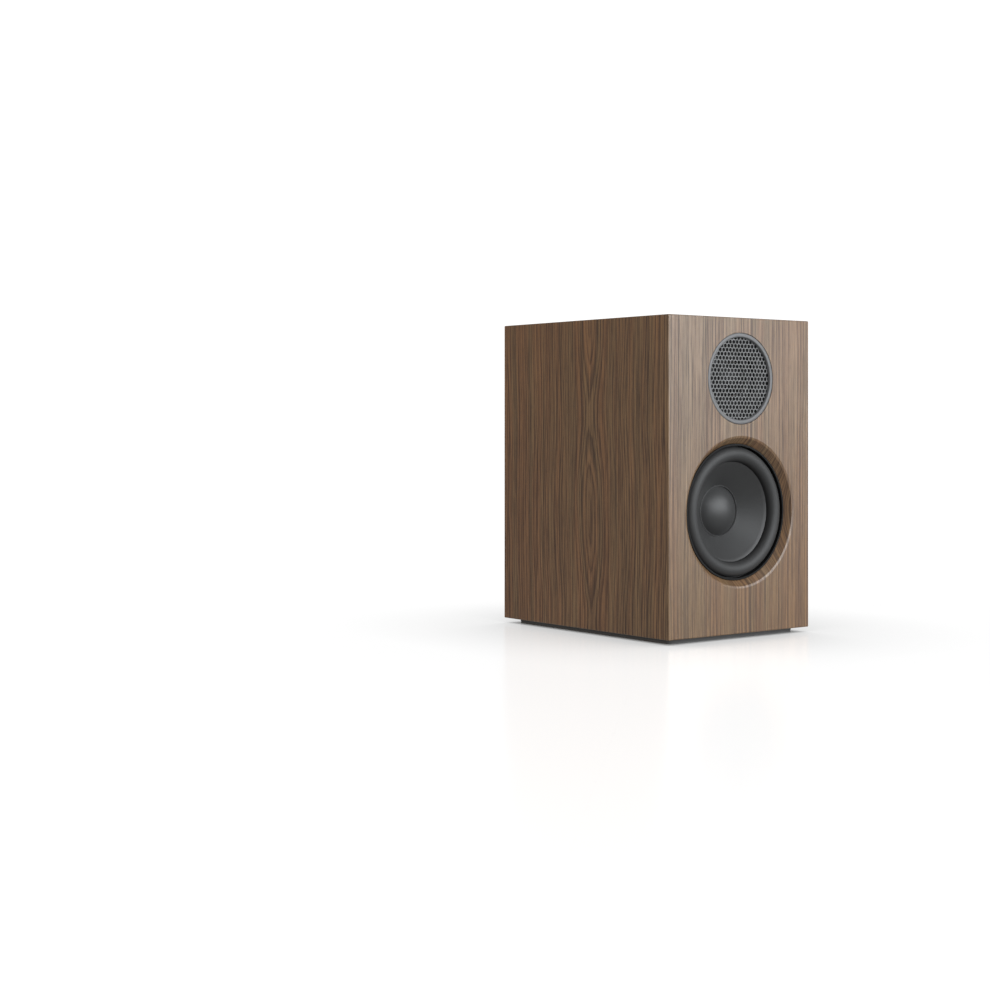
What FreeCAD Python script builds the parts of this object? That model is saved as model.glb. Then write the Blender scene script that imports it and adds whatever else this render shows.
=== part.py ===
import FreeCAD, Part
import math
import os

# A passive two-way bookshelf loudspeaker: a mitred cabinet with a rear-mounted woofer, a tweeter
# behind a honeycomb mesh, a rear port, a pair of binding posts and a crossover on the floor inside.
# Millimetres. +Z is up, the front faces -Y, and the origin lies under the middle of the cabinet on
# the surface that it stands on.

V = FreeCAD.Vector

# Cabinet
WIDTH = 150.0
DEPTH = 197.0
CABINET_HEIGHT = 240.0
PAD_HEIGHT = 4.0
PAD_INSET = 8.0
PAD_CORNER = 6.0
WALL = 12.0
BAFFLE_STEP = 3.0
EDGE_ROUND = 0.8
OVERCUT = 5.0
REAR_PANEL = 9.0
REAR_INSET = 3.0
REAR_GAP = 0.2
REAR_GASKET = 1.0
CLEAT = 12.0

FRONT = -DEPTH / 2
BACK = DEPTH / 2
FLOOR = PAD_HEIGHT
TOP = PAD_HEIGHT + CABINET_HEIGHT
SIDE = WIDTH / 2
BAFFLE = WALL + BAFFLE_STEP
BAFFLE_REAR = FRONT + BAFFLE
PANEL_BACK = BACK - REAR_INSET
PANEL_FRONT = PANEL_BACK - REAR_PANEL
CLEAT_BACK = PANEL_FRONT - REAR_GASKET
INNER_SIDE = SIDE - WALL
INNER_FLOOR = FLOOR + WALL
INNER_TOP = TOP - WALL

# Drivers, measured down from the top of the cabinet
TWEETER_DROP = 46.3
WOOFER_DROP = 147.8
TWEETER = V(0, FRONT, TOP - TWEETER_DROP)
WOOFER = V(0, FRONT, TOP - WOOFER_DROP)

# Woofer: radii, and depths behind the front of the cabinet
RECESS_WIDTH = 5.8
RECESS_DEPTH = 5.8
ARRIS_WIDTH = 1.6
ARRIS_DEPTH = 0.6
WOOFER_HOLE = 52.2
RIM_OUTER = 52.0
RIM_INNER = 50.6
RIM_DEPTH = 5.0
LEDGE_DEPTH = 10.5
FLANGE_OUTER = 60.0
FLANGE_THICK = 2.5
GASKET_THICK = 1.0
EAR_CIRCLE = 62.0
EAR_ROUND = 5.5
ROLL_OUTER = 49.8
ROLL_INNER = 38.5
ROLL_DEPTH = 9.7
ROLL_CREST = 3.8
ROLL_THICK = 0.7
CONE_OUTER = 38.2
CONE_DEPTH = 10.2
CONE_THICK = 0.8
NECK_RADIUS = 13.0
NECK_DEPTH = 29.4
CAP_RADIUS = 18.4
CAP_APEX = 16.0
CAP_THICK = 0.5
FORMER_OUTER = 12.95
FORMER_INNER = 12.75
COIL_OUTER = 13.5
POLE_RADIUS = 12.4
VENT_RADIUS = 4.0
PLATE_BORE = 13.95
SPIDER_DEPTH = 34.5
MOTOR_DEPTH = 42.0
TOP_PLATE_THICK = 5.0
MAGNET_THICK = 12.0
BACK_PLATE_THICK = 5.0
SPOKES = 6
WINDOW_WIDTH = 30.0
STRIP_DROP = 56.0
STRIP_THICK = 1.6
TAB_GAP = 10.0

# Tweeter: radii, and depths behind the front of the cabinet
REBATE = 34.9
REBATE_DEPTH = 8.0
TWEETER_HOLE = 22.2
TRIM_OUTER = 34.5
TRIM_INNER = 31.3
MESH_RADIUS = 33.8
MESH_DEPTH = 2.15
MESH_THICK = 0.5
HEX_PITCH = 3.575
HEX_FLATS = 2.82
WAVEGUIDE_THROAT = 20.0
TWEETER_SCREW_CIRCLE = 26.8
DOME_RADIUS = 12.7
DOME_BASE = 9.6
DOME_APEX = 5.4
DOME_THICK = 0.3
CARRIER_DEPTH = 9.0
YOKE_DEPTH = 10.5
YOKE_RADIUS = 20.5
YOKE_BACK = 24.0
TWEETER_BOARD = 1.6
TWEETER_TAB_GAP = 7.0

# Port
PORT_RADIUS = 17.0
PORT_WALL = 2.2
PORT_FLARE = 10.0
PORT_LENGTH = 104.0
PORT_LIP = 31.0

# Terminal cup and binding posts
CUP = V(0, 0, 75.0)
CUP_WIDTH = 84.0
CUP_HEIGHT = 68.0
CUP_CORNER = 8.0
CUP_FLANGE = 2.2
POCKET_WIDTH = 62.0
POCKET_HEIGHT = 46.0
POCKET_WALL = 3.0
POCKET_FLOOR = 2.5
POCKET_DEPTH = 24.0
POST_PITCH = 19.05
POST_RADIUS = 3.52
SOCKET_RADIUS = 2.0
SOCKET_DEPTH = 15.0
WIRE_HOLE = 1.6
COLLAR_RADIUS = 6.5
COLLAR_THICK = 3.0
KNOB_RADIUS = 7.5
KNOB_BORE = 3.6
KNOB_LENGTH = 19.0
KNOB_FLUTES = 18
SLEEVE_RADIUS = 5.0

# Crossover
BOARD_X = 45.0
BOARD_START = 0.0
BOARD_END = 70.0
BOARD_HEIGHT = 22.0
BOARD_THICK = 1.6
WIRE_RADIUS = 1.1

Y_AXIS = V(0, 1, 0)
Z_AXIS = V(0, 0, 1)
LEFT = V(-1, 0, 0)
RIGHT = V(1, 0, 0)
UP = V(0, 0, 1)
DOWN = V(0, 0, -1)
FORWARD = V(0, -1, 0)


def save(name, *solids):
    """One sub-part, as one file that holds its separate solids."""
    for solid in solids:
        if not solid.isValid() or solid.Volume <= 0:
            raise ValueError(name + " is not a valid solid")
    shape = solids[0] if len(solids) == 1 else Part.makeCompound(list(solids))
    shape.exportStep("parts/" + name + ".step")


def cut_away(solid, tools):
    """The solid without the tools, as one piece."""
    left = solid.cut(Part.makeCompound(list(tools)))
    if len(left.Solids) != 1:
        raise ValueError("a cut left " + str(len(left.Solids)) + " pieces")
    return left.Solids[0]


def joined(first, others):
    """The first solid grown by the others into one piece."""
    whole = first.fuse(list(others)).removeSplitter()
    if len(whole.Solids) != 1:
        raise ValueError("a union left " + str(len(whole.Solids)) + " pieces")
    return whole.Solids[0]


def face(place, *steps):
    """A face whose outline goes through the steps: (a, b) ends a straight run, and
    ((a, b), (c, d)) ends an arc through its first point. place puts a step in space."""
    last = steps[-1]
    here = place(*(last[1] if isinstance(last[0], tuple) else last))
    edges = []
    for step in steps:
        if isinstance(step[0], tuple):
            there = place(*step[1])
            edges.append(Part.Arc(here, place(*step[0]), there).toShape())
        else:
            there = place(*step)
            edges.append(Part.LineSegment(here, there).toShape())
        here = there
    return Part.Face(Part.Wire(edges))


def turned(centre, *steps):
    """A turned solid round the line through centre along Y. Steps are (radius, distance along Y)."""
    section = face(lambda radius, along: centre + V(radius, along, 0), *steps)
    return section.revolve(centre, Y_AXIS, 360)


def ring(centre, inner, outer, start, end):
    return turned(centre, (inner, start), (outer, start), (outer, end), (inner, end))


def rod(centre, radius, start, end):
    return Part.makeCylinder(radius, end - start, centre + V(0, start, 0), Y_AXIS)


def block(low, high):
    size = high - low
    return Part.makeBox(size.x, size.y, size.z, low)


def rounded(shape, direction, radius):
    """The shape with its straight edges along direction rounded."""
    edges = [e for e in shape.Edges if abs(e.tangentAt(e.FirstParameter).dot(direction)) > 0.999]
    return shape.makeFillet(radius, edges)


def plate(centre, width, height, corner, start, end):
    """An upright plate with rounded corners, from start to end along Y."""
    half = V(width / 2, 0, height / 2)
    low = V(centre.x, start, centre.z) - half
    high = V(centre.x, end, centre.z) + half
    return rounded(block(low, high), Y_AXIS, corner)


def polar(centre, radius, angle, along=0):
    """The point at this radius and angle, in degrees from +X towards +Z, round centre."""
    turn = math.radians(angle)
    return centre + V(radius * math.cos(turn), along, radius * math.sin(turn))


def arc_middle(radius, edge, apex):
    """The middle of the arc that runs from an apex on the axis to an edge at this radius."""
    rise = edge - apex
    curve = (radius * radius + rise * rise) / (2 * rise)
    half = math.asin(radius / curve) / 2
    return (curve * math.sin(half), apex + curve * (1 - math.cos(half)))


def screw(seat, way, length, shank, head, sunk, recess=True):
    """A cross-head screw that points along Y, forward or back as way is -1 or 1. The seat is the
    middle of a countersunk head's outer face, or of the surface that a pan head clamps. Without
    its recess it is the shape of the hole that it fills."""
    if sunk:
        top = 0
        outline = [(0, 0), (head, 0), (head, 0.2), (shank, 0.2 + head - shank)]
    else:
        top = -0.6 * head
        outline = [(0, top), (0.75 * head, top), (head, top + 0.25 * head), (head, 0), (shank, 0)]
    outline += [(shank, length - shank), (0.4 * shank, length), (0, length)]
    solid = turned(seat, *[(radius, way * along) for radius, along in outline])
    if not recess:
        return solid
    slot = 0.17 * head
    arm = 0.6 * head
    deep = V(0, 0.35 * head, 0)
    middle = seat + V(0, way * top, 0)
    cross = [block(middle - deep - V(x, 0, z), middle + deep + V(x, 0, z))
             for x, z in ((arm, slot), (slot, arm))]
    return cut_away(solid, cross)


def wire(points, radius):
    """A round wire whole along its route: straight runs joined by arcs as large as the runs allow."""
    edges = []
    here = points[0]
    for before, corner, after in zip(points, points[1:], points[2:]):
        back = before - corner
        ahead = after - corner
        reach = 0.45 * min(back.Length, ahead.Length)
        back.normalize()
        ahead.normalize()
        half_turn = (math.pi - back.getAngle(ahead)) / 2
        bend = reach / math.tan(half_turn)
        inward = (back + ahead).normalize()
        start = corner + back * reach
        end = corner + ahead * reach
        middle = corner + inward * (bend / math.cos(half_turn) - bend)
        edges.append(Part.LineSegment(here, start).toShape())
        edges.append(Part.Arc(start, middle, end).toShape())
        here = end
    edges.append(Part.LineSegment(here, points[-1]).toShape())
    path = Part.Wire(edges)
    end_face = Part.Wire([Part.Circle(points[0], points[1] - points[0], radius).toShape()])
    solid = path.makePipeShell([end_face], True, False)
    expected = math.pi * radius * radius * path.Length
    if abs(solid.Volume - expected) > 0.02 * expected:
        raise ValueError("a wire is not its section times its length")
    return solid


def hexagon(centre, across_flats, point_up):
    """The corners of a regular hexagon in an upright plane."""
    first = 90 if point_up else 0
    corners = [polar(centre, across_flats / math.sqrt(3), first + 60 * k) for k in range(7)]
    return Part.makePolygon(corners)


# ---------------------------------------------------------------- cabinet

def rounded_cabinet():
    """The outside of the cabinet, which every panel is trimmed to."""
    whole = block(V(-SIDE, FRONT, FLOOR), V(SIDE, BACK, TOP))
    return whole.makeFillet(EDGE_ROUND, whole.Edges)


def cavity_point(toward):
    """The point of the cavity's surface that lies furthest in the directions added up in toward."""
    low = V(-INNER_SIDE, FRONT + WALL, INNER_FLOOR)
    high = V(INNER_SIDE, BACK, INNER_TOP)
    picked = [h if t > 0 else (l if t < 0 else 0) for t, l, h in zip(toward, low, high)]
    return V(*picked)


def mitre(outward, beside):
    """What a panel that faces outward loses at its mitre with the panel beside it."""
    corner = cavity_point(outward + beside)
    reach = WALL + OVERCUT
    points = [corner, corner + (outward + beside) * reach, corner + beside * reach]
    triangle = Part.Face(Part.makePolygon(points + points[:1]))
    along = outward.cross(beside) * DEPTH * 2
    triangle.translate(-along)
    return triangle.extrude(along * 2)


def panel(outward, neighbours):
    """One wall of the cabinet, mitred where it meets its neighbours."""
    far = 2 * CABINET_HEIGHT
    cube = block(V(-far, -far, -far), V(far, far, far))
    cube.translate(outward * (far + cavity_point(outward).dot(outward)))
    return cut_away(rounded_cabinet().common(cube), [mitre(outward, side) for side in neighbours])


def baffle_blank():
    """The front baffle before its openings: mitred all round, with a thicker middle."""
    step = block(V(-INNER_SIDE, FRONT + WALL, INNER_FLOOR), V(INNER_SIDE, BAFFLE_REAR, INNER_TOP))
    return joined(panel(FORWARD, [LEFT, RIGHT, UP, DOWN]), [step])


def woofer_opening():
    """The woofer's hole, with a wide bevel on its front edge and a flatter arris round the bevel."""
    mouth = WOOFER_HOLE + RECESS_WIDTH
    return turned(
        WOOFER,
        (0, -1), (mouth, -1), (mouth, 0), (mouth - ARRIS_WIDTH, ARRIS_DEPTH),
        (WOOFER_HOLE, RECESS_DEPTH), (WOOFER_HOLE, BAFFLE + 1), (0, BAFFLE + 1),
    )


def tweeter_opening():
    """The tweeter's rebate and the hole behind it."""
    return turned(
        TWEETER,
        (0, -1), (REBATE, -1), (REBATE, REBATE_DEPTH), (TWEETER_HOLE, REBATE_DEPTH),
        (TWEETER_HOLE, BAFFLE + 1), (0, BAFFLE + 1),
    )


def cleats():
    """Four battens round the back opening that the rear panel is screwed to."""
    front = CLEAT_BACK - CLEAT
    inner = INNER_SIDE - CLEAT
    sides = [block(V(low, front, INNER_FLOOR), V(low + CLEAT, CLEAT_BACK, INNER_TOP))
             for low in (-INNER_SIDE, inner)]
    ends = [block(V(-inner, front, low), V(inner, CLEAT_BACK, low + CLEAT))
            for low in (INNER_FLOOR, INNER_TOP - CLEAT)]
    return sides + ends


def rear_panel_screws(recess):
    """Four screws up each side and one in the middle of each end."""
    across = INNER_SIDE - CLEAT / 2
    low = INNER_FLOOR + CLEAT / 2
    step = (INNER_TOP - INNER_FLOOR - CLEAT) / 3
    places = [(x, low + step * k) for x in (-across, across) for k in range(4)]
    places += [(0, low), (0, low + 3 * step)]
    return [screw(V(x, PANEL_BACK, z), -1, length=19, shank=1.7, head=3.5, sunk=True, recess=recess)
            for x, z in places]


def rear_opening(start, end, margin):
    """A block the shape of the cabinet's back opening, a margin smaller all round."""
    return block(
        V(margin - INNER_SIDE, start, INNER_FLOOR + margin),
        V(INNER_SIDE - margin, end, INNER_TOP - margin),
    )


def cup_hole(start, end):
    """The opening in the rear panel for the terminal cup's pocket."""
    grow = 2 * POCKET_WALL + 1
    return plate(CUP, POCKET_WIDTH + grow, POCKET_HEIGHT + grow, 5, start, end)


def port_neck():
    """The radius of the hole that the port is pushed into."""
    return PORT_RADIUS + PORT_FLARE - 3


def make_cabinet():
    openings = [woofer_opening(), tweeter_opening()] + woofer_screws(False) + tweeter_screws(False)
    save("front_baffle", cut_away(baffle_blank(), openings))
    save("left_side_panel", panel(LEFT, [UP, DOWN, FORWARD]))
    save("right_side_panel", panel(RIGHT, [UP, DOWN, FORWARD]))
    save("top_panel", panel(UP, [LEFT, RIGHT, FORWARD]))
    save("bottom_panel", panel(DOWN, [LEFT, RIGHT, FORWARD]))

    pad = block(V(PAD_INSET - SIDE, FRONT + PAD_INSET, 0), V(SIDE - PAD_INSET, BACK - PAD_INSET, FLOOR))
    pad = rounded(pad, Z_AXIS, PAD_CORNER)
    save("base_pad", pad.makeChamfer(0.4, [e for e in pad.Edges if e.CenterOfMass.z < 0.01]))

    screws = rear_panel_screws(False)
    save("rear_panel_screws", *rear_panel_screws(True))
    save("rear_panel_cleats", *[cut_away(batten, screws) for batten in cleats()])
    holes = [cup_hole(PANEL_FRONT - 1, PANEL_BACK + 1)]
    holes.append(rod(port_centre(), port_neck(), PANEL_FRONT - 1, PANEL_BACK + 1))
    holes += cup_screws(False)
    save("rear_panel", cut_away(rear_opening(PANEL_FRONT, PANEL_BACK, REAR_GAP), holes + screws))
    gasket = rear_opening(CLEAT_BACK, PANEL_FRONT, REAR_GAP)
    inside = rear_opening(CLEAT_BACK - 1, PANEL_FRONT + 1, CLEAT)
    save("rear_panel_gasket", cut_away(gasket, [inside] + screws))


def make_foam():
    """Foam pads on the inside of both sides and under the top."""
    thick = 12.0
    front = -15.0
    back = CLEAT_BACK - CLEAT - 2
    clear = 0.3
    bottom = 50.0
    top_of_side = 205.0
    half_width = 42.0
    pads = []
    for side in (-1, 1):
        near = side * (INNER_SIDE - clear)
        far = side * (INNER_SIDE - clear - thick)
        pads.append(block(V(min(near, far), front, bottom), V(max(near, far), back, top_of_side)))
    top = INNER_TOP - clear
    pads.append(block(V(-half_width, front + 18, top - thick), V(half_width, back, top)))
    save("damping_foam", *pads)


# ---------------------------------------------------------------- woofer

def ear_angles():
    return [45 + 90 * k for k in range(4)]


def ear(angle, start, end):
    return rod(polar(WOOFER, EAR_CIRCLE, angle), EAR_ROUND, start, end)


def woofer_screws(recess):
    rear = BAFFLE + GASKET_THICK + FLANGE_THICK
    seats = [polar(WOOFER, EAR_CIRCLE, angle, rear) for angle in ear_angles()]
    return [screw(seat, -1, length=11, shank=1.7, head=3.6, sunk=False, recess=recess) for seat in seats]


def clearance_holes(centre, circle, angles, start, end):
    return [rod(polar(centre, circle, angle), 2.0, start, end) for angle in angles]


def woofer_frame():
    """The basket: a rim that shows in front, a flange behind the baffle, and spokes to the motor."""
    flange = BAFFLE + GASKET_THICK
    rear = flange + FLANGE_THICK
    inner = RIM_INNER - 2
    rim = turned(
        WOOFER,
        (RIM_INNER, RIM_DEPTH), (RIM_OUTER, RIM_DEPTH), (RIM_OUTER, flange), (FLANGE_OUTER, flange),
        (FLANGE_OUTER, rear), (inner, rear), (inner, LEDGE_DEPTH), (RIM_INNER, LEDGE_DEPTH),
    )
    skin = 2.0
    motor_seat = 40.0
    shell = turned(
        WOOFER,
        (RIM_OUTER - skin, rear), (RIM_OUTER, rear),
        (motor_seat, MOTOR_DEPTH), (motor_seat - skin, MOTOR_DEPTH),
    )
    ledge = ring(WOOFER, 34, 42.5, SPIDER_DEPTH, SPIDER_DEPTH + skin)
    seat = ring(WOOFER, 20, motor_seat, MOTOR_DEPTH - skin, MOTOR_DEPTH)
    ears = [ear(angle, flange, rear) for angle in ear_angles()]
    basket = joined(rim, [shell, ledge, seat] + ears)
    windows = []
    for k in range(SPOKES):
        window = block(V(30, rear + 1.5, -WINDOW_WIDTH / 2), V(60, SPIDER_DEPTH - 1.5, WINDOW_WIDTH / 2))
        window.translate(WOOFER)
        window.rotate(WOOFER, Y_AXIS, 360 / SPOKES * k)
        windows.append(window)
    holes = clearance_holes(WOOFER, EAR_CIRCLE, ear_angles(), flange - 1, rear + 1)
    return cut_away(basket, windows + holes)


def woofer_gasket():
    rear = BAFFLE + GASKET_THICK
    band = ring(WOOFER, WOOFER_HOLE, FLANGE_OUTER, BAFFLE, rear)
    band = joined(band, [ear(angle, BAFFLE, rear) for angle in ear_angles()])
    return cut_away(band, clearance_holes(WOOFER, EAR_CIRCLE, ear_angles(), BAFFLE - 1, rear + 1))


def woofer_surround():
    """A half roll of rubber, with a flange on the frame's ledge and one behind the cone's edge."""
    middle = (ROLL_OUTER + ROLL_INNER) / 2
    under = ROLL_CREST + ROLL_THICK
    inner = ROLL_INNER + ROLL_THICK
    outer = ROLL_OUTER - ROLL_THICK
    ledge = LEDGE_DEPTH - 0.05
    return turned(
        WOOFER,
        (ROLL_INNER, ROLL_DEPTH),
        ((middle, ROLL_CREST), (ROLL_OUTER, ROLL_DEPTH)),
        (RIM_INNER - 0.2, ROLL_DEPTH), (RIM_INNER - 0.2, ledge), (outer, ledge), (outer, ROLL_DEPTH),
        ((middle, under), (inner, ROLL_DEPTH)),
        (inner, 11.6), (36.5, 13.6), (36.5, 12.9), (ROLL_INNER, 11.3),
    )


def cone_depth(radius):
    """The depth of the cone's front face at this radius."""
    slope = (NECK_DEPTH - CONE_DEPTH) / (CONE_OUTER - NECK_RADIUS)
    return CONE_DEPTH + (CONE_OUTER - radius) * slope


def woofer_cone():
    return turned(
        WOOFER,
        (CONE_OUTER, CONE_DEPTH), (NECK_RADIUS, NECK_DEPTH),
        (NECK_RADIUS, NECK_DEPTH + CONE_THICK), (CONE_OUTER, CONE_DEPTH + CONE_THICK),
    )


def dust_cap():
    """A domed cap over the neck, with a raised bead round its glued edge."""
    edge = 24.3
    under = 18.0
    gap = 0.05
    foot = cone_depth(under) - gap
    bead = 20.0
    return turned(
        WOOFER,
        (0, CAP_APEX),
        (arc_middle(CAP_RADIUS, edge, CAP_APEX), (CAP_RADIUS, edge)),
        (CAP_RADIUS + 0.4, edge + 0.2), (19.2, 23.8), (19.7, 23.6), (bead, cone_depth(bead) - gap),
        (under, foot),
        (arc_middle(under, foot, CAP_APEX + CAP_THICK), (0, CAP_APEX + CAP_THICK)),
    )


def woofer_spider():
    """The corrugated centring disc, flat where it is glued to the coil former and to the frame."""
    thick = 0.6
    back = SPIDER_DEPTH - 0.05
    front = back - thick
    first = 15.0
    last = 33.6
    waves = 10
    half = (last - first) / waves
    height = 0.9
    crests = []
    hollows = []
    for k in range(waves):
        side = height if k % 2 else -height
        start = first + half * k
        crests.append(((start + half / 2, front + side), (start + half, front)))
        hollows.append(((start + half / 2, back + side), (start, back)))
    return turned(
        WOOFER,
        (FORMER_OUTER + 0.25, front), (first, front), *crests, (38, front),
        (38, back), (last, back), *reversed(hollows), (FORMER_OUTER + 0.25, back),
    )


def back_plate():
    """The rear plate and the vented pole in one turned piece."""
    start = MOTOR_DEPTH + TOP_PLATE_THICK + MAGNET_THICK
    end = start + BACK_PLATE_THICK
    return turned(
        WOOFER,
        (VENT_RADIUS, MOTOR_DEPTH), (POLE_RADIUS, MOTOR_DEPTH), (POLE_RADIUS, start),
        (36.4, start), (37, start + 0.6), (37, end - 0.6), (36.4, end), (VENT_RADIUS + 2, end),
        (VENT_RADIUS, end - 3),
    )


def lead_route(side):
    """A tinsel lead's way from its tab, through the basket, to the back of the cone."""
    places = [(46, 24.0), (38, 27.5), (30, 27.0), (26, 22.0)]
    return [WOOFER + V(side * TAB_GAP, depth, -radius) for radius, depth in places]


def make_woofer():
    rear = BAFFLE + GASKET_THICK + FLANGE_THICK
    magnet = MOTOR_DEPTH + TOP_PLATE_THICK
    save("woofer_frame", woofer_frame())
    save("woofer_gasket", woofer_gasket())
    save("woofer_screws", *woofer_screws(True))
    save("woofer_surround", woofer_surround())
    save("woofer_cone", woofer_cone())
    save("dust_cap", dust_cap())
    save("woofer_spider", woofer_spider())
    save("voice_coil_former", ring(WOOFER, FORMER_INNER, FORMER_OUTER, 27, 50.5))
    save("voice_coil", ring(WOOFER, FORMER_OUTER, COIL_OUTER, 39.5, 49.5))
    save("woofer_top_plate", ring(WOOFER, PLATE_BORE, 36, MOTOR_DEPTH, magnet))
    save("woofer_magnet", ring(WOOFER, 20, 40, magnet, magnet + MAGNET_THICK))
    save("woofer_back_plate", back_plate())
    save("tinsel_leads", *[wire(lead_route(side), 0.6) for side in (-1, 1)])
    strip = block(WOOFER + V(-15, rear, -STRIP_DROP), WOOFER + V(15, rear + 10, STRIP_THICK - STRIP_DROP))
    save("woofer_terminal_strip", strip)


# ---------------------------------------------------------------- tweeter

def tweeter_screw_angles():
    return [-90, 30, 150]


def tweeter_screws(recess):
    seats = [polar(TWEETER, TWEETER_SCREW_CIRCLE, angle, 4.0) for angle in tweeter_screw_angles()]
    return [screw(seat, 1, length=10, shank=1.4, head=2.7, sunk=True, recess=recess) for seat in seats]


def honeycomb_mesh():
    """A flat disc pierced by rows of hexagons that stand on their points."""
    front = TWEETER + V(0, MESH_DEPTH, 0)
    outline = Part.Wire([Part.Circle(front, Y_AXIS, MESH_RADIUS).toShape()])
    corner = HEX_FLATS / math.sqrt(3)
    row_step = HEX_PITCH * math.sqrt(3) / 2
    rows = int(MESH_RADIUS / row_step)
    columns = int(MESH_RADIUS / HEX_PITCH)
    holes = []
    for row in range(-rows, rows + 1):
        shift = HEX_PITCH / 2 if row % 2 else 0
        for column in range(-columns - 1, columns + 1):
            place = V(column * HEX_PITCH + shift, 0, row * row_step)
            if place.Length + corner < MESH_RADIUS - 0.2:
                holes.append(hexagon(front + place, HEX_FLATS, True))
    return Part.Face([outline] + holes).extrude(V(0, MESH_THICK, 0))


def faceplate():
    """The plate that the tweeter is screwed in by: a shallow flare down to the throat."""
    rear = REBATE_DEPTH - 0.8
    seat = MESH_DEPTH + MESH_THICK + 0.05
    disc = turned(
        TWEETER,
        (WAVEGUIDE_THROAT, 6.0), (TRIM_INNER, 3.2), (MESH_RADIUS - 0.5, seat), (MESH_RADIUS - 0.1, seat),
        (MESH_RADIUS - 0.1, 3.45), (TRIM_OUTER, 3.45), (TRIM_OUTER, rear),
        (TWEETER_HOLE - 0.4, rear), (TWEETER_HOLE - 0.4, CARRIER_DEPTH),
        (WAVEGUIDE_THROAT, CARRIER_DEPTH),
    )
    spots = [polar(TWEETER, TWEETER_SCREW_CIRCLE, angle) for angle in tweeter_screw_angles()]
    bosses = [rod(spot, 3.3, 4.0, rear) for spot in spots]
    return cut_away(joined(disc, bosses), tweeter_screws(False))


def trim_ring():
    """The snap-in ring in front, rebated behind for the mesh and a lip on the faceplate."""
    edge = 0.3
    seat = MESH_DEPTH - 0.05
    return turned(
        TWEETER,
        (TRIM_INNER, edge), (TRIM_INNER + edge, 0), (TRIM_OUTER - edge, 0), (TRIM_OUTER, edge),
        (TRIM_OUTER, 3.4), (MESH_RADIUS + 0.1, 3.4), (MESH_RADIUS + 0.1, seat), (TRIM_INNER, seat),
    )


def tweeter_surround():
    """A small half roll between the dome and its carrier ring."""
    outer = 16.4
    inner = DOME_RADIUS + 0.3
    middle = (outer + inner) / 2
    back = CARRIER_DEPTH - 0.05
    front = back - 0.3
    return turned(
        TWEETER,
        (inner, front), ((middle, front - 1.5), (outer, front)), (19.6, front),
        (19.6, back), (outer - 0.3, back), ((middle, back - 1.5), (inner + 0.3, back)), (inner, back),
    )


def dome():
    inner = DOME_RADIUS - DOME_THICK
    return turned(
        TWEETER,
        (0, DOME_APEX),
        (arc_middle(DOME_RADIUS, DOME_BASE, DOME_APEX), (DOME_RADIUS, DOME_BASE)),
        (inner, DOME_BASE),
        (arc_middle(inner, DOME_BASE, DOME_APEX + DOME_THICK), (0, DOME_APEX + DOME_THICK)),
    )


def yoke():
    """A steel cup with a narrow gap in front, which holds the inner magnet."""
    return turned(
        TWEETER,
        (13.25, YOKE_DEPTH), (YOKE_RADIUS, YOKE_DEPTH), (YOKE_RADIUS, YOKE_BACK), (0, YOKE_BACK),
        (0, 20), (16, 20), (16, 14.5), (13.25, 14.5),
    )


def make_tweeter():
    gasket = ring(TWEETER, TWEETER_HOLE, TRIM_OUTER - 0.2, REBATE_DEPTH - 0.8, REBATE_DEPTH)
    carrier = ring(TWEETER, 16.8, TWEETER_HOLE - 0.4, CARRIER_DEPTH, YOKE_DEPTH)
    save("tweeter_trim_ring", trim_ring())
    save("tweeter_mesh", honeycomb_mesh())
    save("tweeter_faceplate", faceplate())
    save("tweeter_gasket", cut_away(gasket, tweeter_screws(False)))
    save("tweeter_screws", *tweeter_screws(True))
    save("tweeter_dome", dome())
    save("tweeter_surround", tweeter_surround())
    save("tweeter_carrier_ring", carrier)
    save("tweeter_voice_coil", ring(TWEETER, 12.45, 12.9, DOME_BASE + 0.05, 15.9))
    save("tweeter_yoke", yoke())
    save("tweeter_pole_plate", rod(TWEETER, 12.1, 12, 14.5))
    save("tweeter_magnet", rod(TWEETER, 11.5, 14.5, 20))
    save("tweeter_terminal_board", rod(TWEETER, 15, YOKE_BACK, YOKE_BACK + TWEETER_BOARD))


def make_terminal_tabs():
    """Two flat push-on tabs on each driver."""
    tweeter_tab = YOKE_BACK + TWEETER_BOARD
    woofer_tab = BAFFLE + GASKET_THICK + FLANGE_THICK + 3
    tabs = []
    for side in (-1, 1):
        middle = TWEETER + V(side * TWEETER_TAB_GAP, 0, 0)
        tabs.append(block(middle + V(-2.4, tweeter_tab, -0.4), middle + V(2.4, tweeter_tab + 8, 0.4)))
        middle = WOOFER + V(side * TAB_GAP, 0, -STRIP_DROP - 0.4)
        tabs.append(block(middle + V(-2.4, woofer_tab, -0.4), middle + V(2.4, woofer_tab + 14, 0.4)))
    save("driver_terminal_tabs", *tabs)


# ---------------------------------------------------------------- port

def port_centre():
    return V(0, 0, TWEETER.z)


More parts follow.
